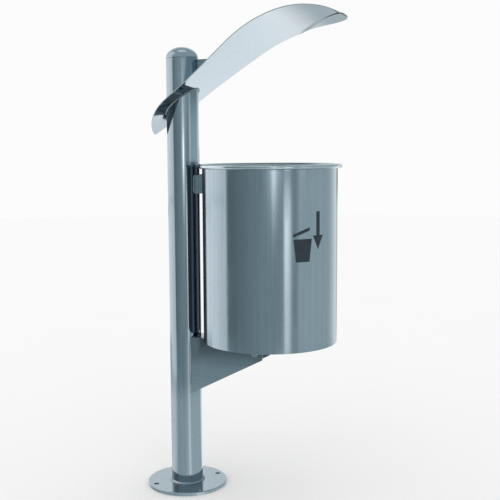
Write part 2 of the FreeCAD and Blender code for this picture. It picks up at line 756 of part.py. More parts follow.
def make_keeper_rivets():
    rivets = []
    wall_x = "(post_diameter / 2 + bin_gap)"
    outer_x = wall_x + " - keeper_sheet - rivet_head_height"
    for side in (-1, 1):
        place = {"y": "%d * rivet_spread / 2" % side, "z": RIVET_PLACE}
        word = str(side + 2)
        shank = cylinder("RivetShank" + word, axis="x", Radius="rivet_diameter / 2 - running_clearance",
                         Height="keeper_sheet + bin_wall + 2 * rivet_head_height",
                         x=outer_x, **place)
        outer = cylinder("RivetOuter" + word, axis="x", Radius="rivet_head / 2",
                         Height="rivet_head_height", x=outer_x, **place)
        inner = cylinder("RivetInner" + word, axis="x", Radius="rivet_head / 2",
                         Height="rivet_head_height", x=wall_x + " + bin_wall + rivet_stand_off", **place)
        rivets.append(fuse("Rivet" + word, shank, outer, inner))
    return keep(group("KeeperRivets", *rivets), "keeper_rivets")


# --------------------------------------------------------------------- roof

def roof_profile(offset):
    """Edges of the roof's side profile, from the rear to the front.

    One straight run with a bend at the rear, a long bend and a tighter bend at
    the front. The offset is measured along the upper normal of the sheet.
    """
    slope = math.radians(size("roof_slope"))
    normal = Vector(-math.sin(slope), 0, math.cos(slope))

    def on_line(x):
        return Vector(x, 0, size("roof_axis_height") + x * math.tan(slope))

    def arc(centre, radius, start, end):
        def at(angle):
            return centre + Vector(-math.sin(angle), 0, math.cos(angle)) * (radius + offset)
        return Part.Arc(at(start), at((start + end) / 2), at(end)).toShape()

    rear_start = on_line(size("roof_rear_bend_start"))
    rear_radius = size("roof_rear_bend_radius")
    rear_centre = rear_start - normal * rear_radius
    rear_end = math.asin((rear_centre.x + size("roof_rear_reach") + PROFILE_OVERRUN) / rear_radius)
    front_start = on_line(size("roof_front_bend_start"))
    front_radius = size("roof_front_bend_radius")
    front_centre = front_start - normal * front_radius
    tip_radius = size("roof_tip_bend_radius")
    tip_centre = front_centre + Vector(0, 0, front_radius - tip_radius)
    tip_end = -math.asin((size("roof_front_reach") + PROFILE_OVERRUN - tip_centre.x) / tip_radius)
    return [
        arc(rear_centre, rear_radius, rear_end, slope),
        Part.makeLine(rear_start + normal * offset, front_start + normal * offset),
        arc(front_centre, front_radius, slope, 0),
        arc(tip_centre, tip_radius, 0, tip_end),
    ]


def roof_band(low, high):
    """The space between two offsets of the roof's profile, as wide as the roof."""
    lower = roof_profile(low)
    upper = roof_profile(high)
    ends = [Part.makeLine(lower[-1].lastVertex().Point, upper[-1].lastVertex().Point),
            Part.makeLine(upper[0].firstVertex().Point, lower[0].firstVertex().Point)]
    wire = Part.Wire(Part.__sortEdges__(lower + upper + ends))
    width = size("roof_belly_width") + 2 * CUT_MARGIN
    face = Part.Face(wire)
    face.translate(Vector(0, -width / 2, 0))
    return face.extrude(Vector(0, width, 0))


def roof_outline():
    """Leaf-shaped plan: a blunt point behind, a waist at the post, a round front."""
    rear = -size("roof_rear_reach")
    waist_x = size("roof_waist_place")
    waist = size("roof_waist_width") / 2
    belly_x = size("roof_belly_place")
    belly = size("roof_belly_width") / 2
    handle = size("roof_flank_handle")
    tip = size("roof_front_reach")
    fullness = size("roof_front_fullness")
    run = waist_x - rear
    point_x = rear + size("roof_point_lean") * run
    point_y = size("roof_point_width") * waist
    shoulder_x = rear + size("roof_shoulder_place") * run
    edges = []
    for side in (-1, 1):
        stretches = [
            [(rear, 0), (point_x, point_y), (shoulder_x, waist), (waist_x, waist)],
            [(waist_x, waist), (waist_x + handle, waist), (belly_x - handle, belly), (belly_x, belly)],
            [(belly_x, belly), (belly_x + fullness * (tip - belly_x), belly),
             (tip, fullness * belly), (tip, 0)],
        ]
        for poles in stretches:
            curve = Part.BezierCurve()
            curve.setPoles([Vector(x, side * y, 0) for x, y in poles])
            edges.append(curve.toShape())
    return Part.Wire(Part.__sortEdges__(edges))


def post_space(extra, top):
    return Part.makeCylinder(size(POST_RADIUS) + extra, top)


def make_roof_sheet():
    half = size("roof_sheet") / 2
    plan = Part.Face(roof_outline()).extrude(Vector(0, 0, size("post_top") + size("bin_height")))
    hole = post_space(size("roof_hole_gap"), size("post_top"))
    sheet_shape = roof_band(-half, half).common(plan).cut(hole)
    item = doc.addObject("Part::Feature", "RoofSheet")
    item.Shape = sheet_shape.Solids[0]
    item.Placement = Placement()
    return keep(item, "roof_sheet")


def make_roof_weld(roof):
    """Bead round the post, above and below the roof sheet."""
    top = size("post_top")
    reach = size("roof_sheet") / 2 + size("roof_weld_height")
    ring = post_space(size("roof_weld_radius"), top).cut(post_space(0, top))
    item = doc.addObject("Part::Feature", "RoofWeld")
    item.Shape = ring.common(roof_band(-reach, reach)).cut(roof.Shape).Solids[0]
    item.Placement = Placement()
    return keep(item, "roof_weld")


def make_roof_gusset():
    """Upright plate above the roof, between the post and the rising sheet."""
    half = size("roof_sheet") / 2
    thick = size("gusset_plate")
    top = size("gusset_top")
    block = Part.makeBox(size("bin_diameter") / 2, thick, top - size("bin_height"),
                         Vector(size(POST_RADIUS) - thick, -thick / 2, size("bin_height")))
    under = roof_band(-size("bin_height"), half)
    notch = post_space(size("roof_weld_radius"), top).common(
        roof_band(-half, half + size("gusset_notch")))
    item = doc.addObject("Part::Feature", "RoofGusset")
    plate = block.cut(under).cut(post_space(0, size("post_top"))).cut(notch)
    item.Shape = max(plate.Solids, key=lambda solid: solid.CenterOfMass.z)
    item.Placement = Placement()
    return keep(item, "roof_gusset")


# ---------------------------------------------------------------- litter sign

def make_bin_sign():
    """Thin film on the wall: a plain bin with its lid up and an arrow into it.

    The flat drawing is cut out of a thin shell by projecting it along the
    radius through the middle of the sign. Its corners are shares of the sign's
    half width and height.
    """
    low = size("sign_bottom")
    tall = size("sign_height")
    half = size("sign_half_width")
    flats = [
        # the bin, narrower below
        [(-0.85, 0.0), (-0.05, 0.0), (0.10, 0.46), (-1.0, 0.46)],
        # its lid, tipped open
        [(-1.0, 0.50), (-0.02, 0.63), (-0.05, 0.69), (-1.03, 0.56)],
        # the shaft of the arrow
        [(0.42, 0.52), (0.66, 0.52), (0.66, 1.0), (0.42, 1.0)],
        # the head of the arrow
        [(0.18, 0.52), (0.90, 0.52), (0.54, 0.24)],
    ]
    radius = size(BIN_RADIUS)
    back = radius + size("touch_gap")
    film = Part.makeCylinder(back + size("sign_film"), 2 * tall, Vector(0, 0, low - tall / 2))
    film = film.cut(Part.makeCylinder(back, 3 * tall, Vector(0, 0, low - tall)))
    pieces = []
    for outline in flats:
        corners = [Vector(radius / 2, across * half, low + up * tall) for across, up in outline]
        face = Part.Face(Part.makePolygon(corners + corners[:1]))
        pieces += face.extrude(Vector(radius, 0, 0)).common(film).Solids
    item = doc.addObject("Part::Feature", "BinSign")
    item.Shape = Part.makeCompound(pieces)
    turn = Rotation(Vector(0, 0, 1), size("sign_angle"))
    item.Placement = Placement(Vector(size(BIN_AXIS), 0, 0), turn)
    return keep(item, "bin_sign")


# -------------------------------------------------------------------- build

make_post_tube()
make_post_cap()
make_base_flange()
make_base_weld()
make_bin_shell()
make_bin_floor()
make_bin_bracket()
make_rest_pad()
make_bracket_welds()
make_hinge_lugs()
make_lug_screws()
make_hinge_bolt()
make_hinge_nut()
make_hinge_washers()
make_hinge_sleeve()
make_lock_arm()
make_arm_welds()
make_lock_barrel()
make_lock_nut()
make_lock_core()
make_lock_cam()
make_cam_screw()
make_keeper()
make_keeper_rivets()
roof_object = make_roof_sheet()
make_roof_weld(roof_object)
make_roof_gusset()
make_bin_sign()

doc.recompute()

for item in doc.Objects:
    if "Invalid" in item.State or "Error" in item.State:
        raise RuntimeError("%s could not be built: %s" % (item.Name, item.State))

os.makedirs("parts", exist_ok=True)
for item in subparts:
    if item.Shape.isNull() or not item.Shape.isValid():
        raise RuntimeError("%s has no valid shape" % item.Label)
    item.Shape.exportStep(os.path.join("parts", item.Label + ".step"))
    print("%-16s %d solid(s), %.0f mm3" % (item.Label, len(item.Shape.Solids), item.Shape.Volume))
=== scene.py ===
"""Looks of the post-mounted litter bin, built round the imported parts.

Metres, +Z up, with the origin on the ground at the centre of the foot flange.
+X runs from the post to the bin and -Y is the side that the camera sees.
"""
import json
import math

import bmesh
import bpy
from mathutils import Matrix, Vector, noise


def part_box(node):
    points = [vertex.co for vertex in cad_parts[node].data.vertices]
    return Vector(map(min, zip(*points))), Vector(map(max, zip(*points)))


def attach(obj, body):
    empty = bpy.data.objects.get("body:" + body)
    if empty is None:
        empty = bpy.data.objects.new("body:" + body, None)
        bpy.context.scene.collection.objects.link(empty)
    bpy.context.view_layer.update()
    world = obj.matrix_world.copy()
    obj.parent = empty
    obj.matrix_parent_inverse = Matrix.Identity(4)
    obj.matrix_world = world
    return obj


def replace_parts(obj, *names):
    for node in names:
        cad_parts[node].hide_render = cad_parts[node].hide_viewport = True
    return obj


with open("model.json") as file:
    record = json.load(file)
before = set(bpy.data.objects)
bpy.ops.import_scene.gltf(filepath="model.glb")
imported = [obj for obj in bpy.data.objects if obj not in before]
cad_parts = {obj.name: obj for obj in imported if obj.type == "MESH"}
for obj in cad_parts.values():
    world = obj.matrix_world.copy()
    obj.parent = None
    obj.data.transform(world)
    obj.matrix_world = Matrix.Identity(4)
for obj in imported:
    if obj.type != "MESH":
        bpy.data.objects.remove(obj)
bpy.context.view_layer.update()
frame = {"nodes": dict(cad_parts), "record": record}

MM = 0.001

# ------------------------------------------------------------ sizes and places

post_low, post_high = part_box("post_tube")
POST_RADIUS = post_high.x
POST_WALL = 2.0 * MM
POST_EDGE = 0.5 * MM
cap_low, cap_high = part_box("post_cap")
CAP_GROOVE = 0.6 * MM
CAP_SKIRT_GAP = 0.1 * MM
CAP_SEAT_GAP = 0.05 * MM
FLANGE_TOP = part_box("base_flange")[1].z

bin_low, bin_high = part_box("bin_shell")
BIN_AXIS = (bin_low.x + bin_high.x) / 2
BIN_WALL = 1.5 * MM
BIN_EDGE = 0.4 * MM
BIN_WAVE = 0.05 * MM
RIM_RADIUS = (bin_high.x - bin_low.x) / 2
RIM_REACH = 10.0 * MM
RIM_DEPTH = 10.0 * MM
RIM_SHOULDER = 5.0 * MM
RIM_CURL = 4.4 * MM
RIM_HEM = 0.6 * MM
BIN_RADIUS = RIM_RADIUS - RIM_REACH

roof_low, roof_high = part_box("roof_sheet")
ROOF_SHEET = 2.0 * MM
ROOF_EDGE = 0.7 * MM
ROOF_HOLE_GAP = 0.3 * MM
ROOF_AXIS_HEIGHT = 932.6 * MM
ROOF_SLOPE = math.radians(36.2)
ROOF_REAR_BEND_START = -15.0 * MM
ROOF_REAR_BEND_RADIUS = 204.0 * MM
ROOF_FRONT_BEND_START = 156.0 * MM
ROOF_FRONT_BEND_RADIUS = 350.0 * MM
ROOF_TIP_BEND_RADIUS = 100.0 * MM
ROOF_WAIST = (12.0 * MM, 93.5 * MM)
ROOF_BELLY = (304.0 * MM, 161.0 * MM)
ROOF_FLANK_HANDLE = 75.0 * MM
ROOF_FRONT_FULLNESS = 0.63
ROOF_POINT_LEAN = 0.08
ROOF_POINT_WIDTH = 0.41
ROOF_SHOULDER = 0.34
ROOF_STEP_START = (249.0 * MM, 158.0 * MM)
ROOF_STEP_SIDE = (0.778, 0.628)
ROOF_STEP_WIDTH = 20.0 * MM
ROOF_STEP_RISE = 2.4 * MM

BRACKET_HALF_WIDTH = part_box("bin_bracket")[1].y
BRACKET_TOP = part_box("bin_bracket")[1].z
ARM_HALF_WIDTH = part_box("lock_arm")[1].y

# Weld beads as (leg, distance between ripples).
FOOT_BEAD = (4.6 * MM, 2.4 * MM)
ROOF_BEAD = (2.8 * MM, 2.0 * MM)
PLATE_BEAD = (2.5 * MM, 2.2 * MM)
FOOT_BEAD_STEPS = 1100
RING_BEAD_STEPS = 1000
PLATE_BEAD_STEP = 0.25 * MM

# Shape of a bead: steps across it, depth of its root, how much it swells and how finely, height
# and bow of its ripples, how hollow its face is, and how it starts and grows from an open end.
BEAD_FAN = 8
BEAD_ROOT = 0.4 * MM
BEAD_SWELL = 0.10
BEAD_SWELL_SCALE = 160.0
BEAD_RIPPLE = 0.06
BEAD_BOW = 0.45
BEAD_HOLLOW = 0.20
BEAD_END = 0.35
BEAD_END_GROWTH = 6


# ------------------------------------------------------------------ node graphs

class Graph:
    """Builds shader nodes from plain calls."""

    def __init__(self, tree):
        self.tree = tree
        tree.nodes.clear()

    def node(self, kind, inputs=None, **settings):
        made = self.tree.nodes.new(kind)
        for name, value in settings.items():
            setattr(made, name, value)
        for key, value in (inputs or {}).items():
            if isinstance(value, bpy.types.NodeSocket):
                self.tree.links.new(value, made.inputs[key])
            else:
                made.inputs[key].default_value = value
        return made

    def math(self, operation, *values):
        return self.node("ShaderNodeMath", dict(enumerate(values)), operation=operation).outputs[0]

    def add(self, a, b):
        return self.math("ADD", a, b)

    def times(self, a, b):
        return self.math("MULTIPLY", a, b)

    def swing(self, noise, amount):
        """A noise round one half as a signed change of up to half the amount."""
        return self.times(self.add(noise, -0.5), amount)

    def degrees(self, radians):
        return self.times(radians, 180 / math.pi)

    def apart(self, vector):
        """The three numbers of a vector."""
        return self.node("ShaderNodeSeparateXYZ", {0: vector}).outputs

    def grey(self, share):
        return self.node("ShaderNodeCombineColor", {0: share, 1: share, 2: share}).outputs[0]

    def ramp(self, value, low, high, start=0.0, end=1.0):
        """A smooth change from start to end while the value goes from low to high."""
        inputs = {"Value": value, "From Min": low, "From Max": high, "To Min": start, "To Max": end}
        return self.node("ShaderNodeMapRange", inputs, interpolation_type="SMOOTHSTEP").outputs[0]

    def bump_at(self, value, centre, width, soft):
        """One within width of the centre, falling smoothly to nothing over soft."""
        distance = self.math("ABSOLUTE", self.math("SUBTRACT", value, centre))
        return self.ramp(distance, width, width + soft, 1.0, 0.0)

    def blend(self, share, a, b):
        """Mix of two numbers."""
        inputs = {"Factor": share, "A": a, "B": b}
        return self.node("ShaderNodeMix", inputs, data_type="FLOAT").outputs["Result"]

    def tint(self, share, a, b):
        """Mix of two colours."""
        made = self.node("ShaderNodeMix", data_type="RGBA")
        for index, value in ((0, share), (6, a), (7, b)):
            if isinstance(value, bpy.types.NodeSocket):
                self.tree.links.new(value, made.inputs[index])
            else:
                made.inputs[index].default_value = value
        return made.outputs[2]

    def place(self, scale=(1, 1, 1), turn=(0, 0, 0)):
        """Object coordinates, stretched and turned."""
        if not hasattr(self, "coordinates"):
            self.coordinates = self.node("ShaderNodeTexCoord").outputs["Object"]
        inputs = {"Vector": self.coordinates, "Scale": scale, "Rotation": turn}
        return self.node("ShaderNodeMapping", inputs).outputs[0]

    def noise(self, scale, detail, turn=(0, 0, 0), distortion=0.0):
        inputs = {"Vector": self.place(scale, turn), "Scale": 1.0, "Detail": detail,
                  "Distortion": distortion}
        return self.node("ShaderNodeTexNoise", inputs).outputs["Fac"]


def colour(red, green, blue):
    return (red, green, blue, 1.0)


# --------------------------------------------------------------------- materials

STEEL_LIGHT = colour(0.520, 0.620, 0.690)
STEEL_DARK = colour(0.440, 0.540, 0.610)
WELD_STRAW = colour(0.560, 0.600, 0.600)
WELD_BLUE = colour(0.400, 0.500, 0.600)

# Marks drawn out along the grain as (width across it, length along it), in metres.
BROAD_BANDS = (5.0 * MM, 0.6)
FINE_LINES = (1.2 * MM, 0.25)
HAIRLINES = (0.25 * MM, 0.05)

# Two crossing sets of scratches as ((width, length), turn, noise level at which they show).
SCRATCHES = (((0.5 * MM, 0.06), (0.35, 0.25, 0.3), 0.72),
             ((0.5 * MM, 0.05), (-0.5, 0.6, -0.2), 0.73))
SCRATCH_FADE = 0.06

# Painted shade under the bin, darker towards the plate's top: its depth, where the plate near the post is
# kept lighter, and shades.
UNDER_BIN_SHADE_DEPTH = 80 * MM
UNDER_BIN_SHADE_LEVELS = (1.17, 0.35)
LIGHTER_NEAR_POST = (40 * MM, 65 * MM, 0.85, 0.0)


def new_material(name):
    made = bpy.data.materials.new(name)
    made.use_nodes = True
    return made, Graph(made.node_tree)


def finish_material(graph, surface, height=None, lift=1.0 * MM):
    """Join a surface to the output, with bump from a height field."""
    if height is not None:
        inputs = {"Height": height, "Distance": lift, "Strength": 1.0}
        bump = graph.node("ShaderNodeBump", inputs)
        graph.tree.links.new(bump.outputs[0], surface.inputs["Normal"])
    graph.node("ShaderNodeOutputMaterial", {"Surface": surface.outputs[0]})


def along(axis, size):
    """Scale of a noise of (width, length) that is drawn out along one axis."""
    across, length = size
    return tuple(1 / length if letter == axis else 1 / across for letter in "XYZ")


def make_steel(name, roughness, grain="Z", grain_depth=2.0e-6, light=STEEL_LIGHT, dark=STEEL_DARK,
               streak=0.10, soil=0.05, painted_shade_top=None):
    """Stainless steel: rolled or drawn grain, hairline scratches, smears and wiping marks."""
    material, graph = new_material(name)
    broad = graph.noise(along(grain, BROAD_BANDS), 3.0)
    fine = graph.noise(along(grain, FINE_LINES), 3.0)
    hair = graph.noise(along(grain, HAIRLINES), 2.0)
    cloud = graph.noise((7.0, 7.0, 4.0), 4.0, distortion=0.4)
    smear = graph.noise((26.0, 26.0, 7.0), 3.0, turn=(0.3, 0.2, 0.0))
    mottle = graph.noise((380.0, 380.0, 190.0), 2.0)
    scratch = graph.math("MAXIMUM", *[
        graph.ramp(graph.noise(along(grain, size), 1.0, turn=turn), shows, shows + SCRATCH_FADE)
        for size, turn, shows in SCRATCHES])
    wiped = graph.ramp(smear, 0.52, 0.72)

    tone = graph.add(graph.swing(broad, 1.2), graph.add(graph.times(cloud, 0.6), 0.2))
    base = graph.tint(graph.ramp(tone, 0.0, 1.0), dark, light)
    shade = graph.add(1.0 - streak / 2, graph.swing(fine, streak * 2))
    shade = graph.add(shade, graph.swing(mottle, 0.16))
    # Painted shade: the plate darkens towards its top under the bin and stays lighter near the post.
    if painted_shade_top is not None:
        spot = graph.apart(graph.place())
        under_bin_shade = graph.ramp(spot[2], painted_shade_top - UNDER_BIN_SHADE_DEPTH, painted_shade_top, *UNDER_BIN_SHADE_LEVELS)
        shade = graph.times(shade, graph.math("MAXIMUM", under_bin_shade, graph.ramp(spot[0], *LIGHTER_NEAR_POST)))
    base = multiply_colour(graph, base, shade)

    rough = graph.add(roughness, graph.swing(fine, 0.06))
    rough = graph.add(rough, graph.times(wiped, soil))
    rough = graph.add(rough, graph.times(scratch, 0.10))
    height = graph.add(fine, graph.times(hair, 0.25))
    height = graph.add(height, graph.times(scratch, -0.6))
    surface = graph.node("ShaderNodeBsdfPrincipled", {
        "Base Color": base, "Metallic": 1.0, "Roughness": rough,
    })
    finish_material(graph, surface, height, grain_depth)
    return material


def multiply_colour(graph, base, share):
    """A colour made darker or lighter by a number."""
    made = graph.node("ShaderNodeMix", data_type="RGBA", blend_type="MULTIPLY")
    made.inputs[0].default_value = 1.0
    graph.tree.links.new(base, made.inputs[6])
    graph.tree.links.new(graph.grey(share), made.inputs[7])
    return made.outputs[2]


def make_weld_metal():
    """Cleaned weld: duller than the sheet, with straw and blue heat tints."""
    material, graph = new_material("weld_metal")
    patch = graph.noise((60.0, 60.0, 60.0), 3.0)
    grit = graph.noise((900.0, 900.0, 900.0), 3.0)
    base = graph.tint(graph.ramp(patch, 0.42, 0.62), WELD_STRAW, WELD_BLUE)
    base = multiply_colour(graph, base, graph.add(0.85, graph.times(grit, 0.3)))
    surface = graph.node("ShaderNodeBsdfPrincipled", {
        "Base Color": base, "Metallic": 1.0, "Roughness": graph.ramp(grit, 0.3, 0.7, 0.36, 0.52),
    })
    finish_material(graph, surface, grit, 0.02 * MM)
    return material


def make_fastener_steel():
    """Turned and rolled fasteners: tight tool marks and a few nicks."""
    material, graph = new_material("fastener_steel")
    rings = graph.noise((2500.0, 2500.0, 400.0), 2.0)
    nick = graph.ramp(graph.noise((320.0, 320.0, 320.0), 2.0), 0.66, 0.74)
    patch = graph.noise((120.0, 120.0, 120.0), 2.0)
    base = graph.tint(patch, colour(0.50, 0.57, 0.62), colour(0.60, 0.66, 0.70))
    surface = graph.node("ShaderNodeBsdfPrincipled", {
        "Base Color": multiply_colour(graph, base, graph.add(1.0, graph.times(nick, -0.35))),
        "Metallic": 1.0, "Roughness": graph.add(0.24, graph.times(nick, 0.25)),
    })
    finish_material(graph, surface, graph.add(graph.times(rings, 0.3), graph.times(nick, -1.0)), 0.02 * MM)
    return material


def make_plain(name, dark, light, roughness, pores, depth, sheen=0.0):
    """Rubber, nylon or film: two close tones, pores (how many per metre, how deep), rubbed patches."""
    material, graph = new_material(name)
    patch = graph.noise((45.0, 45.0, 45.0), 4.0)
    pore = graph.noise((pores, pores, pores), 3.0)
    rubbed = graph.ramp(graph.noise((18.0, 18.0, 18.0), 3.0), 0.55, 0.75)
    base = graph.tint(graph.ramp(graph.add(graph.times(patch, 0.7), graph.times(pore, 0.3)), 0.35, 0.65),
                      dark, light)
    surface = graph.node("ShaderNodeBsdfPrincipled", {
        "Base Color": base, "Metallic": 0.0,
        "Roughness": graph.add(roughness, graph.times(rubbed, -0.12)), "Sheen Weight": sheen,
    })
    finish_material(graph, surface, pore, depth)
    return material


SATIN = {"roughness": 0.22, "grain": "X", "grain_depth": 4.0e-6,
         "light": colour(0.46, 0.55, 0.61), "dark": colour(0.38, 0.47, 0.53)}

MATERIALS = {
    "polished_steel": make_steel("polished_steel", 0.10),
    "roof_steel": make_steel("roof_steel", 0.05, grain="X", grain_depth=1.0e-6, streak=0.04),
    "brushed_sheet": make_steel("brushed_sheet", 0.13, grain_depth=2.5e-6, streak=0.09),
    "satin_steel": make_steel("satin_steel", **SATIN),
    # The bracket's satin steel, with painted shade under the bin.
    "satin_steel_painted_shade": make_steel("satin_steel_painted_shade", painted_shade_top=BRACKET_TOP, **SATIN),
    # Rougher sheet for the bin's inside and floor, painted lighter to lift the shade inside the bin.
    "dull_sheet_painted_lighter": make_steel("dull_sheet_painted_lighter", 0.42, grain_depth=6.0e-6, streak=0.12,
                             light=colour(0.74, 0.80, 0.83), dark=colour(0.60, 0.66, 0.69)),
    # Painted light: the rim's rolled edge is coloured lighter to stand in for the light it catches from
    # above.
    "rim_steel_painted_light": make_steel("rim_steel_painted_light", 0.16, grain_depth=1.5e-6,
                            light=colour(0.80, 0.90, 0.94), dark=colour(0.68, 0.78, 0.83)),
    # The sheet's cut edge is rougher and painted lighter, which hides the dark line the edge would
    # otherwise show along the roof's outline.
    "cut_edge": make_steel("cut_edge", 0.50, grain="X", grain_depth=8.0e-6, streak=0.15,
                           light=colour(0.80, 0.86, 0.88), dark=colour(0.70, 0.76, 0.79)),
    "weld_metal": make_weld_metal(),
    "fastener_steel": make_fastener_steel(),
    "rubber": make_plain("rubber", colour(0.012, 0.012, 0.013), colour(0.03, 0.03, 0.032),
                         roughness=0.72, pores=900.0, depth=0.05 * MM, sheen=0.2),
    "nylon": make_plain("nylon", colour(0.62, 0.60, 0.54), colour(0.74, 0.72, 0.66),
                        roughness=0.45, pores=600.0, depth=0.02 * MM),
    "sign_film": make_plain("sign_film", colour(0.010, 0.022, 0.030), colour(0.020, 0.036, 0.046),
                            roughness=0.42, pores=1500.0, depth=0.008 * MM),
}


# ------------------------------------------------------------------ mesh helpers

SAME_POINT = 1e-7
SHARP_ANGLE = math.radians(35)
FACE_WEIGHT = 90


def on_circle(radius, share):
    """Point of a circle round the origin, a share of the way round."""
    angle = 2 * math.pi * share
    return (radius * math.cos(angle), radius * math.sin(angle))


def in_scene(name, data):
    """A new object of the scene with this mesh or camera."""
    made = bpy.data.objects.new(name, data)
    bpy.context.scene.collection.objects.link(made)
    return made


def new_piece(name, body, slot, vertices, faces, material=None):
    """A smooth mesh object that rides on a body and takes a slot's finish."""
    mesh = bpy.data.meshes.new(name)
    mesh.from_pydata(vertices, [], faces)
    piece = in_scene(name, mesh)
    joined = bmesh.new()
    joined.from_mesh(mesh)
    bmesh.ops.remove_doubles(joined, verts=joined.verts, dist=SAME_POINT)
    bmesh.ops.recalc_face_normals(joined, faces=joined.faces)
    joined.to_mesh(mesh)
    joined.free()
    mesh.shade_smooth()
    mesh.materials.append(MATERIALS[material or slot])
    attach(piece, body)
    return piece


def weigh_normals(piece):
    """Flat and gently curved faces keep true normals next to small roundings."""
    made = piece.modifiers.new("face_weighted", "WEIGHTED_NORMAL")
    made.weight = FACE_WEIGHT
    return made


def shade_piece(piece):
    """Smooth shading that stops at real edges."""
    piece.data.set_sharp_from_angle(angle=SHARP_ANGLE)
    weigh_normals(piece).keep_sharp = True


def ease_edges(piece, width, segments, sharper_than):
    """Round every edge that turns by more than an angle in degrees."""
    eased = piece.modifiers.new("eased", "BEVEL")
    eased.width = width
    eased.segments = segments
    eased.limit_method = "ANGLE"
    eased.angle_limit = math.radians(sharper_than)


def arc(centre, radius, start, end, steps):
    """Points of an arc in a section, angles in degrees."""
    points = []
    for i in range(steps + 1):
        angle = math.radians(start + (end - start) * i / steps)
        points.append((centre[0] + radius * math.cos(angle), centre[1] + radius * math.sin(angle)))
    return points


def straight(start, end, steps):
    """Points strictly between two section points."""
    return [(start[0] + (end[0] - start[0]) * i / steps, start[1] + (end[1] - start[1]) * i / steps)
            for i in range(1, steps)]


def turned(name, body, slot, section, steps, axis=0.0, wobble=None):
    """A closed section of (radius, height) points turned about an upright axis at x."""
    vertices = []
    faces = []
    count = len(section)
    for step in range(steps):
        angle = 2 * math.pi * step / steps
        for radius, height in section:
            reach = radius + (wobble(angle, height) if wobble else 0.0)
            vertices.append((axis + reach * math.cos(angle), reach * math.sin(angle), height))
    for step in range(steps):
        here = step * count
        after = (step + 1) % steps * count
        for i in range(count):
            j = (i + 1) % count
            faces.append((here + i, after + i, after + j, here + j))
    return new_piece(name, body, slot, vertices, faces)


# ----------------------------------------------------------------- post and cap

POST_STEPS = 144
DOME_STEPS = 28


def make_post():
    """Round tube with a softly broken top edge."""
    low, high = post_low.z, post_high.z
    inner = POST_RADIUS - POST_WALL
    section = [(POST_RADIUS, low)]
    section += straight((POST_RADIUS, low), (POST_RADIUS, high - POST_EDGE), 60)
    section += arc((POST_RADIUS - POST_EDGE, high - POST_EDGE), POST_EDGE, 0, 90, 3)
    section += [(inner, high)]
    section += straight((inner, high), (inner, low), 8)
    section += [(inner, low)]
    piece = turned("post_polished", "stand", "polished_steel", section, POST_STEPS)
    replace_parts(piece, "post_tube")
    shade_piece(piece)


def make_cap():
    """Domed cap with a fine groove where it meets the tube."""
    seat = post_high.z
    rise = cap_high.z - seat
    outer = []
    for i in range(DOME_STEPS + 1):
        angle = math.pi / 2 * i / DOME_STEPS
        outer.append((POST_RADIUS * math.cos(angle),
                      seat + CAP_GROOVE + (rise - CAP_GROOVE) * math.sin(angle)))
    skirt = POST_RADIUS - POST_WALL - CAP_SKIRT_GAP
    inside = skirt - POST_WALL
    top = outer[-1][1]
    inner = [(radius - POST_WALL, height - POST_WALL) for radius, height in reversed(outer[:-1])]
    section = [(POST_RADIUS - CAP_GROOVE, seat + CAP_SEAT_GAP)] + outer
    section += [(0.0, top - POST_WALL)]
    section += [(max(radius, 0.0), height) for radius, height in inner if radius < inside]
    section += [(inside, seat), (inside, cap_low.z), (skirt, cap_low.z), (skirt, seat + CAP_SEAT_GAP)]
    piece = turned("post_cap_dome", "stand", "polished_steel", section, POST_STEPS)
    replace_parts(piece, "post_cap")
    shade_piece(piece)


# ------------------------------------------------------------------------- bin

BIN_STEPS = 288
# The inside and rim finishes are lighter-painted copies of the steel: painted light.
INNER_FINISH = "dull_sheet_painted_lighter"
RIM_FINISH = "rim_steel_painted_light"


def bin_wobble(angle, height):
    """Long, shallow waves that rolled sheet keeps."""
    return BIN_WAVE * (math.sin(2 * angle + 0.7) + 0.5 * math.sin(3 * angle - 9 * height))


def make_bin_shell():
    """Rolled wall, its top flanged outwards, turned down and hemmed."""
    low, high = bin_low.z, bin_high.z
    outer, inner = BIN_RADIUS, BIN_RADIUS - BIN_WALL
    fold = RIM_SHOULDER - BIN_WALL
    lip = RIM_CURL - BIN_WALL
    bottom = high - RIM_DEPTH
    curl_top = (RIM_RADIUS - RIM_CURL, high - RIM_CURL)
    curl_bottom = (RIM_RADIUS - RIM_CURL, bottom + RIM_CURL)
    shoulder = (inner + RIM_SHOULDER, high - RIM_SHOULDER)
    hem = RIM_RADIUS - RIM_CURL - RIM_HEM
    section = arc((outer - BIN_EDGE, low + BIN_EDGE), BIN_EDGE, -90, 0, 3)
    section += straight((outer, low + BIN_EDGE), (outer, shoulder[1]), 36)
    section += arc(shoulder, fold, 180, 90, 4)
    section += arc(curl_top, lip, 90, 0, 6)
    section += arc(curl_bottom, lip, 0, -90, 6)
    section += [(hem, bottom + BIN_WALL), (hem, bottom)]
    section += arc(curl_bottom, RIM_CURL, -90, 0, 9)
    section += arc(curl_top, RIM_CURL, 0, 90, 9)
    section += arc(shoulder, RIM_SHOULDER, 90, 180, 6)
    section += straight((inner, shoulder[1]), (inner, low + BIN_EDGE), 36)
    section += arc((inner + BIN_EDGE, low + BIN_EDGE), BIN_EDGE, 180, 270, 3)
    piece = turned("bin_wall", "bin", "brushed_sheet", section, BIN_STEPS, BIN_AXIS, bin_wobble)
    finish_bin(piece, inside=inner + 0.3 * MM, above=low + MM,
               outside=outer + 2 * MM, rim_from=bottom - MM)
    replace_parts(piece, "bin_shell")
    shade_piece(piece)


def finish_bin(piece, inside, above, outside, rim_from):
    """Rougher finish inside the bin, painted lighter to lift the shade inside it, and painted light on the
    rim's rolled edge.
    """
    for finish in (INNER_FINISH, RIM_FINISH):
        piece.data.materials.append(MATERIALS[finish])
    for face in piece.data.polygons:
        reach = math.hypot(face.center.x - BIN_AXIS, face.center.y)
        if reach < inside and face.center.z > above:
            face.material_index = 1
        elif reach > outside and face.center.z > rim_from:
            face.material_index = 2


# ------------------------------------------------------------------------- roof

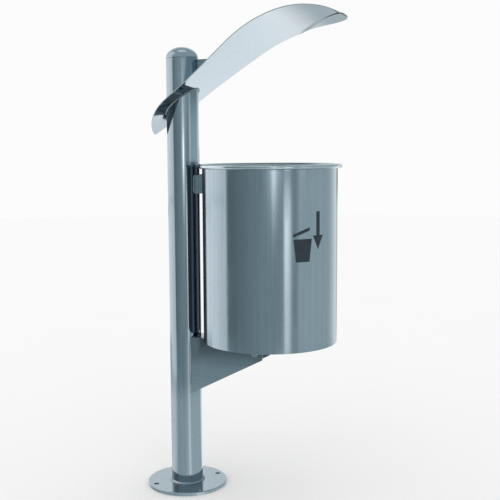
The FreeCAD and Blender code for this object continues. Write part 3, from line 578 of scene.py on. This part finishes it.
ROOF_RINGS = 60
SPINE_REAR = roof_low.x + 60.0 * MM
SPINE_FRONT = roof_high.x - 120.0 * MM
SLOPE_NORMAL = Vector((-math.sin(ROOF_SLOPE), math.cos(ROOF_SLOPE)))


def on_slope(x):
    """Point (x, z) of the roof's straight stretch."""
    return Vector((x, ROOF_AXIS_HEIGHT + x * math.tan(ROOF_SLOPE)))


REAR_CENTRE = on_slope(ROOF_REAR_BEND_START) - SLOPE_NORMAL * ROOF_REAR_BEND_RADIUS
FRONT_CENTRE = on_slope(ROOF_FRONT_BEND_START) - SLOPE_NORMAL * ROOF_FRONT_BEND_RADIUS
TIP_CENTRE = FRONT_CENTRE + Vector((0, ROOF_FRONT_BEND_RADIUS - ROOF_TIP_BEND_RADIUS))


def roof_height(x):
    """Height of the middle of the sheet on the roof's centre line."""
    if x < ROOF_REAR_BEND_START:
        centre, radius = REAR_CENTRE, ROOF_REAR_BEND_RADIUS
    elif x < ROOF_FRONT_BEND_START:
        return on_slope(x).y
    elif x < FRONT_CENTRE.x:
        centre, radius = FRONT_CENTRE, ROOF_FRONT_BEND_RADIUS
    else:
        centre, radius = TIP_CENTRE, ROOF_TIP_BEND_RADIUS
    return centre.y + math.sqrt(max(radius ** 2 - (x - centre.x) ** 2, 0.0))


def roof_step(x, y):
    """Shallow pressed step across the front corner on the far side."""
    across = (x - ROOF_STEP_START[0]) * ROOF_STEP_SIDE[0] + (y - ROOF_STEP_START[1]) * ROOF_STEP_SIDE[1]
    share = min(max(across / ROOF_STEP_WIDTH + 0.5, 0.0), 1.0)
    return ROOF_STEP_RISE * share * share * (3 - 2 * share)


def bezier(poles, share):
    """Point of a cubic curve with four poles."""
    a, b, c, d = (Vector(pole) for pole in poles)
    left = 1 - share
    return a * left ** 3 + b * 3 * left ** 2 * share + c * 3 * left * share ** 2 + d * share ** 3


def roof_stations():
    """Places along the roof as (x, half width), from the point over the waist to the front."""
    rear, tip = roof_low.x, roof_high.x
    run = ROOF_WAIST[0] - rear
    handle = ROOF_FLANK_HANDLE
    full = ROOF_FRONT_FULLNESS
    stretches = [
        ([(rear, 0), (rear + ROOF_POINT_LEAN * run, ROOF_POINT_WIDTH * ROOF_WAIST[1]),
          (rear + ROOF_SHOULDER * run, ROOF_WAIST[1]), ROOF_WAIST], 36),
        ([ROOF_WAIST, (ROOF_WAIST[0] + handle, ROOF_WAIST[1]), (ROOF_BELLY[0] - handle, ROOF_BELLY[1]),
          ROOF_BELLY], 60),
        ([ROOF_BELLY, (ROOF_BELLY[0] + full * (tip - ROOF_BELLY[0]), ROOF_BELLY[1]),
          (tip, full * ROOF_BELLY[1]), (tip, 0)], 60),
    ]
    stations = []
    for poles, steps in stretches:
        stations += [tuple(bezier(poles, i / steps)) for i in range(steps)]
    return stations + [(tip, 0.0)]


def make_roof():
    """Curved leaf-shaped sheet with the post's hole, meshed in rings from its spine outwards."""
    stations = roof_stations()
    outline = stations + [(x, -half) for x, half in reversed(stations[1:-1])]
    vertices = []
    faces = []
    count = len(outline)
    for ring in range(ROOF_RINGS + 1):
        share = math.sin(math.pi / 2 * ring / ROOF_RINGS)
        for x, y in outline:
            spine = min(max(x, SPINE_REAR), SPINE_FRONT)
            place = spine + (x - spine) * share
            vertices.append((place, y * share, roof_height(place) + roof_step(place, y * share)))
    for ring in range(ROOF_RINGS):
        for i in range(count):
            here = ring * count + i
            after = ring * count + (i + 1) % count
            faces.append((here, here + count, after + count, after))
    piece = new_piece("roof_leaf", "stand", "polished_steel", vertices, faces, "roof_steel")
    sheet = piece.modifiers.new("sheet", "SOLIDIFY")
    sheet.thickness = ROOF_SHEET
    sheet.offset = 0.0
    piece.data.materials.append(MATERIALS["cut_edge"])
    sheet.material_offset_rim = 1
    cut_round_hole(piece, POST_RADIUS + ROOF_HOLE_GAP)
    ease_edges(piece, ROOF_EDGE, segments=3, sharper_than=50)
    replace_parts(piece, "roof_sheet")
    shade_piece(piece)


def cut_round_hole(piece, radius):
    """Cut an upright round hole on the post's axis and keep the result as the mesh."""
    steps = 96
    margin = 0.1
    mesh = bpy.data.meshes.new("hole")
    ring = [on_circle(radius, i / steps) for i in range(steps)]
    corners = [(x, y, level) for level in (roof_low.z - margin, roof_high.z + margin) for x, y in ring]
    sides = [(i, (i + 1) % steps, steps + (i + 1) % steps, steps + i) for i in range(steps)]
    ends = [tuple(reversed(range(steps))), tuple(range(steps, 2 * steps))]
    mesh.from_pydata(corners, [], sides + ends)
    cutter = in_scene("hole", mesh)
    made = piece.modifiers.new("hole", "BOOLEAN")
    made.operation = "DIFFERENCE"
    made.solver = "EXACT"
    made.object = cutter
    ready = piece.evaluated_get(bpy.context.evaluated_depsgraph_get())
    whole = bpy.data.meshes.new_from_object(ready)
    piece.modifiers.clear()
    piece.data = whole
    bpy.data.objects.remove(cutter)
    bpy.data.meshes.remove(mesh)


# ------------------------------------------------------------------------ welds

def bead(name, steps, corner, side_a, side_b, size, closed):
    """Rippled weld bead of (leg, ripple) laid in a corner.

    corner, side_a and side_b give the corner point and the two directions that
    lean against the joined metals, for a share of the way along the bead.
    """
    leg, pitch = size
    vertices = []
    faces = []
    count = BEAD_FAN + 2
    length = 0.0
    before = corner(0.0)
    for step in range(steps + (0 if closed else 1)):
        share = step / steps
        point = corner(share)
        length += (point - before).length
        before = point
        a = side_a(share)
        b = side_b(share)
        opening = a.angle(b)
        swell = 1.0 + BEAD_SWELL * noise.noise(point * BEAD_SWELL_SCALE)
        to_end = min(share, 1 - share)
        taper = 1.0 if closed else min(1.0, BEAD_END + BEAD_END_GROWTH * to_end)
        vertices.append(tuple(point - (a + b).normalized() * BEAD_ROOT))
        for k in range(BEAD_FAN + 1):
            across = k / BEAD_FAN
            turn = opening * across
            direction = (a * math.sin(opening - turn) + b * math.sin(turn)) / math.sin(opening)
            ripple = (length / pitch + BEAD_BOW * math.sin(math.pi * across)) % 1.0
            crest = 1.0 + BEAD_RIPPLE * (1.0 - ripple ** 2)
            face = 1.0 - BEAD_HOLLOW * (1.0 - abs(2 * across - 1))
            vertices.append(tuple(point + direction * leg * swell * taper * crest * face))
    rings = len(vertices) // count
    for ring in range(rings if closed else rings - 1):
        here = ring * count
        after = (ring + 1) % rings * count
        for i in range(count):
            j = (i + 1) % count
            faces.append((here + i, here + j, after + j, after + i))
    if not closed:
        faces.append(tuple(range(count)))
        faces.append(tuple((rings - 1) * count + i for i in reversed(range(count))))
    return new_piece(name, "stand", "weld_metal", vertices, faces)


def upwards(share):
    return Vector((0, 0, 1))


def downwards(share):
    return Vector((0, 0, -1))


def forwards(share):
    return Vector((1, 0, 0))


def away_from_post(share):
    return Vector((*on_circle(1.0, share), 0.0))


def make_foot_weld():
    """Fillet round the tube on the foot flange."""
    def corner(share):
        return away_from_post(share) * POST_RADIUS + Vector((0, 0, FLANGE_TOP))

    piece = bead("foot_weld_bead", FOOT_BEAD_STEPS, corner, away_from_post, upwards, FOOT_BEAD, True)
    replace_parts(piece, "base_weld")


def make_roof_weld(name, side, post_side):
    """Fillet round the tube on the roof's upper (side 1) or lower (side -1) face."""
    lift = side * ROOF_SHEET / 2 / math.cos(ROOF_SLOPE)

    def corner(share):
        point = away_from_post(share) * POST_RADIUS
        point.z = roof_height(point.x) + lift
        return point

    def on_roof(share):
        direction = away_from_post(share)
        near = roof_height(POST_RADIUS * direction.x)
        far = roof_height((POST_RADIUS + MM) * direction.x)
        return Vector((direction.x, direction.y, (far - near) / MM)).normalized()

    return bead(name, RING_BEAD_STEPS, corner, on_roof, post_side, ROOF_BEAD, True)


def make_plate_weld(name, node, half_width, side):
    """Upright bead where one side (1 or -1) of a folded channel meets the tube."""
    low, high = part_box(node)
    run = high.z - low.z
    reach = math.sqrt(POST_RADIUS ** 2 - half_width ** 2)

    def corner(share):
        return Vector((reach, side * half_width, low.z + run * share))

    def on_post(share):
        return Vector((-half_width, side * reach, 0)).normalized()

    piece = bead(name, int(run / PLATE_BEAD_STEP), corner, forwards, on_post, PLATE_BEAD, False)
    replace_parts(piece, node)


def make_welds():
    make_foot_weld()
    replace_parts(make_roof_weld("roof_weld_upper", 1, upwards), "roof_weld")
    make_roof_weld("roof_weld_lower", -1, downwards)
    for node, label, half_width in (("bracket_welds", "bracket_bead", BRACKET_HALF_WIDTH),
                                    ("arm_welds", "arm_bead", ARM_HALF_WIDTH)):
        make_plate_weld(label + "_near", node, half_width, -1)
        make_plate_weld(label + "_far", node, half_width, 1)


# ------------------------------------------------------ parts kept from the frame

# The bracket takes the satin steel with painted shade under the bin.
OWN_FINISH = {"bin_bracket": "satin_steel_painted_shade", "bin_floor": "dull_sheet_painted_lighter"}
EASED_EDGES = {"bin_bracket": 1.2 * MM, "lock_arm": 1.2 * MM, "roof_gusset": 0.6 * MM}
SMALL_EDGE = 0.3 * MM
WELD_GAP = 1e-6
FLAT_WITHIN = math.radians(1.0)


def dress_nodes():
    """Give every part kept from the frame its material, eased edges and clean shading."""
    slots = {row["node"]: row["material_slot"] for row in frame["record"]["subparts"]}
    for name, node in frame["nodes"].items():
        if node.hide_render:
            continue
        mesh = node.data
        if mesh.has_custom_normals:
            mesh.attributes.remove(mesh.attributes["custom_normal"])
        mesh.materials.clear()
        mesh.materials.append(MATERIALS[OWN_FINISH.get(name, slots[name])])
        for face in mesh.polygons:
            face.material_index = 0
        mesh.shade_smooth()
        joined = node.modifiers.new("joined", "WELD")
        joined.merge_threshold = WELD_GAP
        flat = node.modifiers.new("flat_faces", "DECIMATE")
        flat.decimate_type = "DISSOLVE"
        flat.angle_limit = FLAT_WITHIN
        if slots[name] != "sign_film":
            ease_edges(node, EASED_EDGES.get(name, SMALL_EDGE), segments=2, sharper_than=40)
        weigh_normals(node)


# ----------------------------------------------------------------------- studio

# Directions round the object are given by a turn from the camera's side and a rise over the
# horizon, in degrees. A ramp is (from, to, level before, level after); a spot is (middle,
# half width, soft edge).
FRONT = math.radians(-71.4)

ROOM_TURN = (-80.0, -5.0, 0.19, 0.33)
ROOM_LOW = (-24.0, -15.0, 1.8, 1.0)
ROOM_HIGH = (2.0, 4.0, 1.0, 1.25)

LAMP_RISE = 0.2
LAMP_CORE = (0.2, 1.6, 1.5, 0.0)
LAMP_BELOW = (-6.0, -0.8, 0.0, 0.75)
LAMP_ABOVE = (0.5, 5.0, 1.0, 0.2)
LAMP_LEFT = (-14.0, 8.0, 0.0, 0.40)
LAMP_RIGHT = (10.0, 24.0, 1.0, 0.0)
LAMP_SPOT = (6.5, 1.0, 5.0)
LAMP_SPOT_LEVEL = 0.75

WINDOW_LEFT = (22.0, 25.5, 0.0, 1.0)
WINDOW_RIGHT = (28.5, 40.0, 1.0, 0.0)
WINDOW_TOP = (-3.2, -2.2, 1.0, 0.0)
WINDOW_LEVEL = (-10.0, -5.0, 0.65, 1.15)
HAZE_SPOT = (22.0, 4.0, 9.0)
HAZE_RISE = (0.0, 1.5, 0.0, 0.12)

RIGHT_RISE = (1.0, 5.0, 0.53, 0.17)
RIGHT_SPOT = (56.0, 2.0, 6.0)
RIGHT_SPOT_RISE = (-1.5, -0.5, 0.0, 0.25)
RIGHT_TURN = (112.0, 150.0, 0.0, 0.42)

LEFT_TURN = (-135.0, -83.0, 1.0, 0.80)
LEFT_RISE = (12.0, 18.0, 1.0, 0.80)
LEFT_SEAM_TILT = -0.011
LEFT_SEAM_DROP = 2.3
LEFT_SEAM = (0.0, 0.1, 0.4)
SEAM_SHADE = -0.30

REAR_RISE = (-17.5, -10.0, 1.08, 0.54)
REAR_BAND = (-4.0, -2.0, 1.0, 0.12)
REAR_BAND_TOP = (-0.3, 0.4)
REAR_ABOVE = 0.85

SKY = (66.0, 78.0, 0.46, 0.84)
SKY_FROM_FRONT = (7.0, 20.0)
SKY_FROM_BACK = (35.0, 50.0)
FRONT_TO_RIGHT = (44.0, 50.0)
LEFT_TO_FRONT = (-92.0, -90.0)
RIGHT_TO_REAR = (152.0, 160.0)

# Ray depth of a first mirror image, as the surrounding and as objects count it.
FIRST_DEPTH_WORLD = 2
FIRST_DEPTH_OBJECT = 1

COOL = (0.80, 1.00, 1.05)
COOL_BELOW = (0.25, 0.9, 1.0, 0.0)
MIRRORED_AGAIN = 0.25
MIRRORED_SKY = (10.0, 30.0, MIRRORED_AGAIN, 1.0)
BACKDROP = 0.97


def glow_colour(graph, level, first_depth, again=MIRRORED_AGAIN):
    """Dim levels are cooler than bright ones; what is mirrored twice is nearly dark."""
    cool = graph.ramp(level, *COOL_BELOW)
    tints = [graph.times(level, graph.add(graph.times(cool, share - 1.0), 1.0)) for share in COOL]
    depth = graph.node("ShaderNodeLightPath").outputs["Ray Depth"]
    dim = graph.blend(graph.math("GREATER_THAN", depth, first_depth + 0.5), 1.0, again)
    tints = [graph.times(tint, dim) for tint in tints]
    return graph.node("ShaderNodeCombineColor", dict(enumerate(tints))).outputs[0]


def front_level(graph, turn, rise):
    """Dark room on the camera's side with a low lamp and a tall window."""
    room = graph.times(graph.ramp(turn, *ROOM_TURN), graph.ramp(rise, *ROOM_LOW))
    room = graph.times(room, graph.ramp(rise, *ROOM_HIGH))
    core = graph.ramp(graph.math("ABSOLUTE", graph.add(rise, LAMP_RISE)), *LAMP_CORE)
    lamp = graph.add(core, graph.ramp(rise, *LAMP_BELOW))
    lamp = graph.times(lamp, graph.ramp(rise, *LAMP_ABOVE))
    wide = graph.times(graph.ramp(turn, *LAMP_LEFT), graph.ramp(turn, *LAMP_RIGHT))
    narrow = graph.times(graph.bump_at(turn, *LAMP_SPOT), LAMP_SPOT_LEVEL)
    lamp = graph.times(lamp, graph.add(wide, narrow))
    window = graph.times(graph.ramp(turn, *WINDOW_LEFT), graph.ramp(turn, *WINDOW_RIGHT))
    window = graph.times(window, graph.ramp(rise, *WINDOW_TOP))
    window = graph.times(window, graph.ramp(rise, *WINDOW_LEVEL))
    haze = graph.times(graph.bump_at(turn, *HAZE_SPOT), graph.ramp(rise, *HAZE_RISE))
    return graph.add(graph.add(room, haze), graph.add(lamp, window))


def right_level(graph, turn, rise):
    """Grey side with one upright light, brighter towards the back."""
    light = graph.times(graph.bump_at(turn, *RIGHT_SPOT), graph.ramp(rise, *RIGHT_SPOT_RISE))
    level = graph.add(graph.ramp(rise, *RIGHT_RISE), light)
    return graph.add(level, graph.ramp(turn, *RIGHT_TURN))


def left_level(graph, turn, rise):
    """Bright wall with a thin slanting seam."""
    wall = graph.times(graph.ramp(turn, *LEFT_TURN), graph.ramp(rise, *LEFT_RISE))
    over_seam = graph.add(rise, graph.add(graph.times(turn, LEFT_SEAM_TILT), LEFT_SEAM_DROP))
    return graph.times(wall, seam(graph, over_seam, LEFT_SEAM))


def seam(graph, distance, spot):
    """One, and less where a distance lies in the seam."""
    return graph.add(1.0, graph.times(graph.bump_at(distance, *spot), SEAM_SHADE))


def rear_level(graph, rise):
    """Bright back with a dark band just under the horizon."""
    level = graph.times(graph.ramp(rise, *REAR_RISE), graph.ramp(rise, *REAR_BAND))
    return graph.blend(graph.ramp(rise, *REAR_BAND_TOP), level, REAR_ABOVE)


def build_world():
    """Plain white for the eye; soft light and dark panels for the metal to mirror."""
    world = bpy.data.worlds.new("studio")
    bpy.context.scene.world = world
    world.use_nodes = True
    world.cycles.sampling_method = "NONE"
    graph = Graph(world.node_tree)
    way = graph.apart(graph.node("ShaderNodeTexCoord").outputs["Generated"])
    forward = graph.add(graph.times(way[0], math.cos(FRONT)), graph.times(way[1], math.sin(FRONT)))
    sideways = graph.add(graph.times(way[0], -math.sin(FRONT)), graph.times(way[1], math.cos(FRONT)))
    turn = graph.degrees(graph.math("ARCTAN2", sideways, forward))
    rise = graph.degrees(graph.math("ARCSINE", way[2]))

    sky = graph.ramp(rise, *SKY)
    level = graph.blend(graph.ramp(turn, *FRONT_TO_RIGHT), front_level(graph, turn, rise),
                        right_level(graph, turn, rise))
    level = graph.blend(graph.ramp(rise, *SKY_FROM_FRONT), level, sky)
    level = graph.blend(graph.ramp(turn, *LEFT_TO_FRONT), left_level(graph, turn, rise), level)
    level = graph.blend(graph.ramp(turn, *RIGHT_TO_REAR), level, rear_level(graph, rise))
    level = graph.blend(graph.ramp(rise, *SKY_FROM_BACK), level, sky)
    again = graph.ramp(rise, *MIRRORED_SKY)

    mirrored = graph.node("ShaderNodeLightPath").outputs["Is Glossy Ray"]
    shown = graph.tint(mirrored, graph.grey(BACKDROP), glow_colour(graph, level, FIRST_DEPTH_WORLD, again))
    backdrop = graph.node("ShaderNodeBackground", {"Color": shown, "Strength": 1.0})
    graph.node("ShaderNodeOutputWorld", {"Surface": backdrop.outputs[0]})


FLOOR_REACH = 9.0
FLOOR_STEPS = 96
# Levels of the painted glow that the metal mirrors in place of the floor: by distance, side and back, a
# bright streak, and where it fades.
FLOOR_RADIUS = (0.75, 1.05, 0.48, 0.30)
FLOOR_LEFT = (-0.6, -1.0, 0.0, 0.34)
FLOOR_RIGHT = (0.1, 0.5, 0.0, 0.10)
FLOOR_BACK = (0.75, 0.95, 0.0, 0.60)
FLOOR_STREAK = (-46.0, 3.0, 9.0)
FLOOR_STREAK_LEVEL = 0.30
FLOOR_FADE = (1.5, 2.0)


def build_floor():
    """Pale round floor. Close to the foot the metal mirrors a painted glow in its place, with levels by
    distance and side and a painted bright streak.
    """
    mesh = bpy.data.meshes.new("studio_floor")
    ring = [(*on_circle(FLOOR_REACH, i / FLOOR_STEPS), 0.0) for i in range(FLOOR_STEPS)]
    mesh.from_pydata(ring, [], [tuple(range(FLOOR_STEPS))])
    in_scene("studio_floor", mesh)
    material, graph = new_material("studio_floor")
    speck = graph.noise((3.0, 3.0, 3.0), 4.0)
    paint = graph.tint(speck, colour(0.97, 0.97, 0.97), colour(0.99, 0.99, 0.99))
    matt = graph.node("ShaderNodeBsdfDiffuse", {"Color": paint})

    x, y, _ = graph.apart(graph.place())
    radius = graph.math("SQRT", graph.add(graph.times(x, x), graph.times(y, y)))
    turn = graph.degrees(graph.math("ARCTAN2", y, x))
    side = graph.math("DIVIDE", x, radius)
    near = graph.add(graph.ramp(radius, *FLOOR_RADIUS), graph.ramp(side, *FLOOR_LEFT))
    near = graph.add(near, graph.ramp(side, *FLOOR_RIGHT))
    near = graph.add(near, graph.ramp(graph.math("DIVIDE", y, radius), *FLOOR_BACK))
    near = graph.add(near, graph.times(graph.bump_at(turn, *FLOOR_STREAK), FLOOR_STREAK_LEVEL))
    # Painted glow: the floor glows for mirror images though it is no lamp.
    glow = graph.node("ShaderNodeEmission", {"Color": glow_colour(graph, near, FIRST_DEPTH_OBJECT)})
    clear = graph.node("ShaderNodeBsdfTransparent")
    mirrored = graph.node("ShaderNodeMixShader", {0: graph.ramp(radius, *FLOOR_FADE),
                                                  1: glow.outputs[0], 2: clear.outputs[0]})
    seen = graph.node("ShaderNodeLightPath").outputs
    choice = graph.node("ShaderNodeMixShader", {0: seen["Is Glossy Ray"], 1: matt.outputs[0],
                                                2: mirrored.outputs[0]})
    graph.node("ShaderNodeOutputMaterial", {"Surface": choice.outputs[0]})
    mesh.materials.append(material)


# Cards as (name, (one end, other end) on the floor plan, bottom, top), in metres.
WALL_CARD = ("studio_wall", ((-0.808, -0.739), (-1.250, 0.100)), 0.0, 2.6)
WALL_SEAM = (0.640, 0.002, 0.010)
FLAG_CARDS = (("studio_flag", ((0.055, 0.350), (0.240, 0.350)), 0.29, 0.77),
              ("studio_flag_left", ((-0.130, 0.350), (-0.012, 0.350)), 0.722, 0.77),
              ("studio_flag_top", ((-0.012, 0.350), (0.055, 0.350)), 0.745, 0.77))
FLAG_LEVEL = 0.03


def stand_card(name, path, low, high):
    """Upright studio card that only the metal's mirror images show."""
    (x1, y1), (x2, y2) = path
    mesh = bpy.data.meshes.new(name)
    mesh.from_pydata([(x1, y1, low), (x2, y2, low), (x2, y2, high), (x1, y1, high)], [], [(0, 1, 2, 3)])
    card = in_scene(name, mesh)
    card.visible_camera = False
    card.visible_diffuse = False
    card.visible_shadow = False
    material, graph = new_material(name)
    mesh.materials.append(material)
    return graph


def build_cards():
    """A bright wall beside the object and black flags behind it."""
    graph = stand_card(*WALL_CARD)
    near_end, far_end = WALL_CARD[1]
    spot = graph.apart(graph.place())
    far_level, near_level = LEFT_TURN[2:]
    share = graph.ramp(spot[1], near_end[1], far_end[1], near_level, far_level)
    share = graph.times(share, seam(graph, spot[2], WALL_SEAM))
    glow = graph.node("ShaderNodeEmission", {"Color": glow_colour(graph, share, FIRST_DEPTH_OBJECT)})
    graph.node("ShaderNodeOutputMaterial", {"Surface": glow.outputs[0]})
    for card in FLAG_CARDS:
        graph = stand_card(*card)
        cloth = graph.times(graph.noise((40.0, 40.0, 40.0), 2.0), FLAG_LEVEL)
        dull = graph.node("ShaderNodeEmission", {"Color": graph.grey(cloth)})
        graph.node("ShaderNodeOutputMaterial", {"Surface": dull.outputs[0]})


CAMERA_PLACE = Vector((0.8745, -1.9513, 0.8190))
CAMERA_FORWARD = Vector((-0.33974, 0.93343, -0.11529))
CAMERA_UP = Vector((-0.03437, 0.11017, 0.99332))
CAMERA_LENS = 64.2
CAMERA_SENSOR = 36.0
CAMERA_SHIFT = (0.0026, 0.0046)


def build_camera():
    """Camera in front of the bin, a little to its right and level with its rim."""
    data = bpy.data.cameras.new("view")
    data.sensor_width = CAMERA_SENSOR
    data.lens = CAMERA_LENS
    data.shift_x, data.shift_y = CAMERA_SHIFT
    camera = in_scene("view", data)
    back = -CAMERA_FORWARD.normalized()
    right = CAMERA_UP.cross(back).normalized()
    turn = Matrix((right, back.cross(right), back)).transposed()
    camera.matrix_world = Matrix.Translation(CAMERA_PLACE) @ turn.to_4x4()
    bpy.context.scene.camera = camera


def set_look():
    """Plain colours, and enough bounces for metal that mirrors metal."""
    scene = bpy.context.scene
    scene.view_settings.view_transform = "Standard"
    scene.cycles.max_bounces = 12
    scene.cycles.glossy_bounces = 10


make_post()
make_cap()
make_bin_shell()
make_roof()
make_welds()
dress_nodes()
build_world()
build_floor()
build_cards()
build_camera()
set_look()
